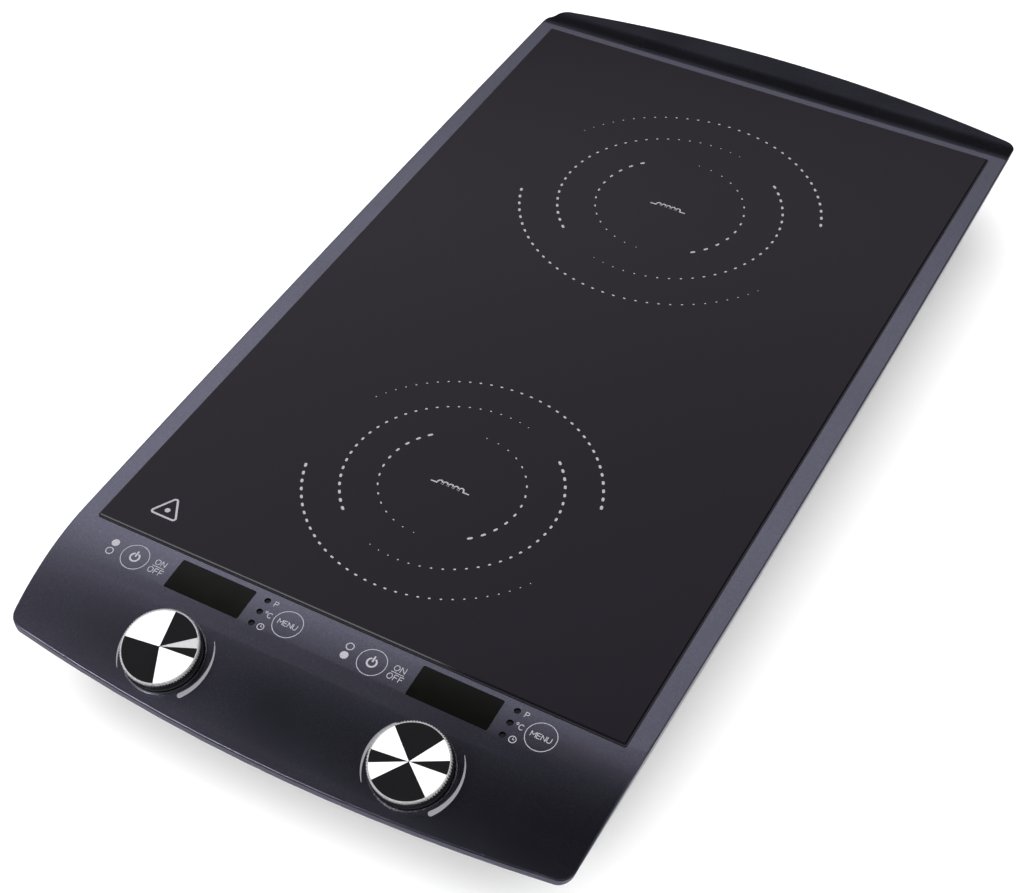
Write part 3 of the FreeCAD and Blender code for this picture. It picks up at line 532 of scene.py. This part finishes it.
for side in SIDES:
    lo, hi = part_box("display_window_" + side)
    gx = ((lo.x + hi.x) / 2 - GLASS_X) / MM
    legend = Mesh()
    # Two dots show which zone the group works: the filled one is the zone.
    for y, filled in ((-11.2, side == "left"), (-16.8, side == "right")):
        if filled:
            legend.disc(gx - 59.3 + (0.0 if y > -14 else -0.1), y, 2.15)
        else:
            legend.circle(gx - 59.3, y, 1.95, 0.5, steps=32)
    # Touch key with its stand-by sign.
    kx, ky = gx - 45.2, -14.3
    legend.circle(kx, ky, 7.55, 0.36, steps=72)
    legend.circle(kx, ky - 0.2, 2.45, 0.95, 122.0, 296.0, 32)
    legend.ribbon([(kx, ky + 0.6), (kx, ky + 3.4)], 0.95)
    text(legend, "ON", gx - 30.9, -11.7, 3.1, 0.38)
    legend.ribbon([(gx - 34.3, -14.35), (gx - 27.5, -14.35)], 0.34)
    text(legend, "OFF", gx - 30.9, -17.0, 3.1, 0.38)
    # Names of the three lamps: power, temperature, timer.
    text(legend, "P", gx + 34.9, -6.4, 2.9, 0.4)
    legend.circle(gx + 33.3, -12.6, 0.55, 0.32, steps=16)
    text(legend, "C", gx + 35.6, -13.7, 2.9, 0.4)
    legend.circle(gx + 35.0, -21.3, 1.75, 0.4, steps=32)
    legend.ribbon([(gx + 35.0, -20.2), (gx + 35.0, -21.3), (gx + 35.8, -21.3)], 0.34)
    # Menu key.
    legend.circle(gx + 46.3, -14.1, 7.8, 0.36, steps=72)
    text(legend, "MENU", gx + 46.3, -14.2, 2.8, 0.36, 0.24)
    legend.build("panel_print_" + side, on_deck, MATS["print_ink"], "base")

    # Two tapering arcs round the knob, point-symmetric about the middle of the group.
    aside = (lo.x + hi.x) / 2 - joints["knob_" + side + "_turn"]["pos_m"][0]

    def on_cylinder(u, v, level):
        w = -CURVE_R + math.sqrt(CURVE_R**2 - (v * MM) ** 2)
        return (u * MM + aside, v * MM, w + (PROUD if level else -SUNK))

    swirl = Mesh()
    for turn in (0.0, 180.0):
        path, widths = [], []
        for i in range(49):
            t = i / 48
            a = math.radians(turn + 40.0 - 81.0 * t)
            w = 0.30 + 2.30 * t**0.9
            r = 25.0 - w / 2
            path.append((r * math.cos(a), r * math.sin(a)))
            widths.append(w)
        swirl.ribbon(path, widths)
    swirl.build("knob_swirl_" + side, on_cylinder, MATS["swirl_ink"], "base", knob_frame(side))

# ---- spun knob caps with painted reflection wedges ----------------------------------------------
CAP_R, CAP_TOP, CAP_SEAT, CAP_STEM = 19.2, 8.5, 7.65, 17.65
# Cap sectors in degrees with their material: 0 is painted highlight, 2 is painted half highlight, all else is
# painted dark reflection, standing in for the light and dark fans a spun metal face mirrors.
PAINTED_REFLECTION_WEDGES = {
    "left": ((97, 187, 0), (292, 365, 0), (21, 38, 2)),
    "right": ((139, 186, 0), (206, 232, 0), (322, 365, 0), (26, 59, 0)),
}


def spun_cap(side):
    """The turned disc in the knob's top: fine rings, a broken edge and a stepped underside. Its sectors are
    painted reflection: bright wedges are painted highlight and dark wedges are painted dark reflection of a spun
    face.
    """
    profile = [(0.35, CAP_TOP - 0.05)]
    rings_n = 46
    for i in range(1, rings_n + 1):
        r = 0.35 + (CAP_R - 0.75) * i / rings_n
        profile.append((r, CAP_TOP - 0.02 - (0.014 if i % 2 else 0.0)))
    profile += [(CAP_R - 0.22, CAP_TOP - 0.01), (CAP_R - 0.06, CAP_TOP - 0.07), (CAP_R, CAP_TOP - 0.22)]
    profile += [(CAP_R, CAP_SEAT), (CAP_STEM, CAP_SEAT), (CAP_STEM, 6.4), (0.35, 6.4)]
    n = 360
    verts, faces, tone = [], [], []
    for r, z in profile:
        for k in range(n):
            a = 2 * math.pi * k / n
            verts.append((r * math.cos(a) * MM, r * math.sin(a) * MM, z * MM))

    # Picks the painted reflection material of each sector of the cap.
    def colour(k):
        for a, b, m in PAINTED_REFLECTION_WEDGES[side]:
            if a <= k < b or a <= k + 360 < b:
                return m
        return 1

    for i in range(len(profile) - 1):
        for k in range(n):
            q = (k + 1) % n
            faces.append([i * n + k, (i + 1) * n + k, (i + 1) * n + q, i * n + q])
            tone.append(colour(k))
    last = len(profile) - 1
    faces.append([k for k in range(n)])
    tone.append(1)
    faces.append([last * n + k for k in reversed(range(n))])
    tone.append(1)
    me = bpy.data.meshes.new("spun_cap_" + side)
    me.from_pydata(verts, [], faces)
    for m in ("cap_painted_highlight", "cap_painted_dark_reflection", "cap_painted_half_highlight"):
        me.materials.append(MATS[m])
    for p, t in zip(me.polygons, tone):
        p.material_index = t
        p.use_smooth = len(p.vertices) == 4
    me.update()
    ob = bpy.data.objects.new("spun_cap_" + side, me)
    bpy.context.scene.collection.objects.link(ob)
    ob.matrix_world = knob_frame(side)
    bpy.context.view_layer.update()
    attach(ob, "knob_" + side)
    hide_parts("knob_cap_" + side)
    return ob


for side in SIDES:
    spun_cap(side)

# ---- floor, light and camera --------------------------------------------------------------------


def floor():
    """A plain pale studio floor with a slightly uneven matt face; the world stands for it in gloss."""
    m = Nodes("studio_floor")
    cloud = m.noise(3.0, 3.0)
    tones = m.ramp(cloud, [(0.3, (0.90, 0.90, 0.90)), (0.7, (0.93, 0.93, 0.93))])
    m.link(tones, m.bsdf.inputs["Base Color"])
    m.link(m.map(cloud, 0.75, 0.85), m.bsdf.inputs["Roughness"])
    m.set(Specular_IOR_Level=0.1)
    n, size = 24, 8.0
    verts, faces = [], []
    for i in range(n + 1):
        for k in range(n + 1):
            verts.append((size * (i / n - 0.5), size * (k / n - 0.5), 0.0))
    for i in range(n):
        for k in range(n):
            a = i * (n + 1) + k
            faces.append([a, a + n + 1, a + n + 2, a + 1])
    me = bpy.data.meshes.new("studio_floor")
    me.from_pydata(verts, [], faces)
    me.materials.append(m.mat)
    ob = bpy.data.objects.new("studio_floor", me)
    bpy.context.scene.collection.objects.link(ob)
    ob.visible_glossy = False


floor()


def softbox(name, where, aim, size, power, mirror=True):
    """A rectangular area light; mirror=False keeps it out of glossy reflections."""
    d = bpy.data.lights.new(name, "AREA")
    d.shape = "RECTANGLE"
    d.size, d.size_y = size
    d.energy = power
    ob = bpy.data.objects.new(name, d)
    bpy.context.scene.collection.objects.link(ob)
    ob.location = where
    ob.rotation_euler = (Vector(aim) - Vector(where)).to_track_quat("-Z", "Y").to_euler()
    ob.visible_glossy = mirror
    return ob


softbox("overhead", (0.0, 0.0, 2.6), (0, 0, 0), (7.0, 7.0), 260.0, mirror=False)
softbox("front_fill", (0.5, -2.3, 0.75), (0, -0.3, 0.0), (3.0, 1.2), 60.0, mirror=False)
softbox("front_left", (-0.95, -1.75, 1.0), (0, -0.3, 0.05), (0.7, 0.5), 9.0)

world = bpy.data.worlds.new("studio")
bpy.context.scene.world = world
world.use_nodes = True
tree = world.node_tree
tree.nodes.clear()
w_out = tree.nodes.new("ShaderNodeOutputWorld")
w_bg = tree.nodes.new("ShaderNodeBackground")
w_dir = tree.nodes.new("ShaderNodeTexCoord")
w_sep = tree.nodes.new("ShaderNodeSeparateXYZ")
tree.links.new(w_dir.outputs["Generated"], w_sep.inputs["Vector"])


def w_map(value, a, b, lo, hi):
    n = tree.nodes.new("ShaderNodeMapRange")
    n.interpolation_type = "SMOOTHSTEP"
    n.inputs["From Min"].default_value = a
    n.inputs["From Max"].default_value = b
    n.inputs["To Min"].default_value = lo
    n.inputs["To Max"].default_value = hi
    tree.links.new(value, n.inputs["Value"])
    return n.outputs["Result"]


def w_math(kind, a, b):
    n = tree.nodes.new("ShaderNodeMath")
    n.operation = kind
    for k, v in enumerate((a, b)):
        if isinstance(v, (int, float)):
            n.inputs[k].default_value = v
        else:
            tree.links.new(v, n.inputs[k])
    return n.outputs["Value"]


# Only glossy surfaces see much of this: a bright band at mid height, strongest to the rear and the
# left, a glow low on the left, and a mid grey ground in place of the floor.
BAND, HAZE, GROUND, BASE = 1.15, 0.13, 0.60, 0.018
rear = w_map(w_sep.outputs["Y"], -0.25, 0.45, 0.35, 1.0)
above = w_map(w_sep.outputs["Z"], 0.46, 0.64, 0.0, 1.0)
below = w_map(w_sep.outputs["Z"], 0.76, 0.92, 1.0, 0.0)
to_left = w_map(w_sep.outputs["X"], -0.60, -0.10, 1.0, 0.72)
band = w_math("MULTIPLY", w_math("MULTIPLY", rear, to_left), w_math("MULTIPLY", above, below))
haze = w_math("MULTIPLY", w_map(w_sep.outputs["X"], -0.78, -0.42, 1.0, 0.0), below)
ground = w_map(w_sep.outputs["Z"], -0.55, -0.28, 1.0, 0.0)
level = w_math("ADD", w_math("MULTIPLY", band, BAND), w_math("MULTIPLY", haze, HAZE))
level = w_math("ADD", level, w_math("MULTIPLY", ground, GROUND))
level = w_math("ADD", level, BASE)
tree.links.new(level, w_bg.inputs["Strength"])
w_bg.inputs["Color"].default_value = (0.97, 0.96, 1.0, 1.0)
tree.links.new(w_bg.outputs["Background"], w_out.inputs["Surface"])

cam_data = bpy.data.cameras.new("camera")
cam_data.sensor_width = 36.0
cam_data.lens = 71.22
cam_data.shift_x = 0.0872
cam = bpy.data.objects.new("camera", cam_data)
bpy.context.scene.collection.objects.link(cam)
cam.location = (0.36079, -0.76850, 0.82087)
cam.rotation_euler = [math.radians(a) for a in (45.0254, 0.9252, 29.9152)]
bpy.context.scene.camera = cam
bpy.context.scene.view_settings.view_transform = "Standard"
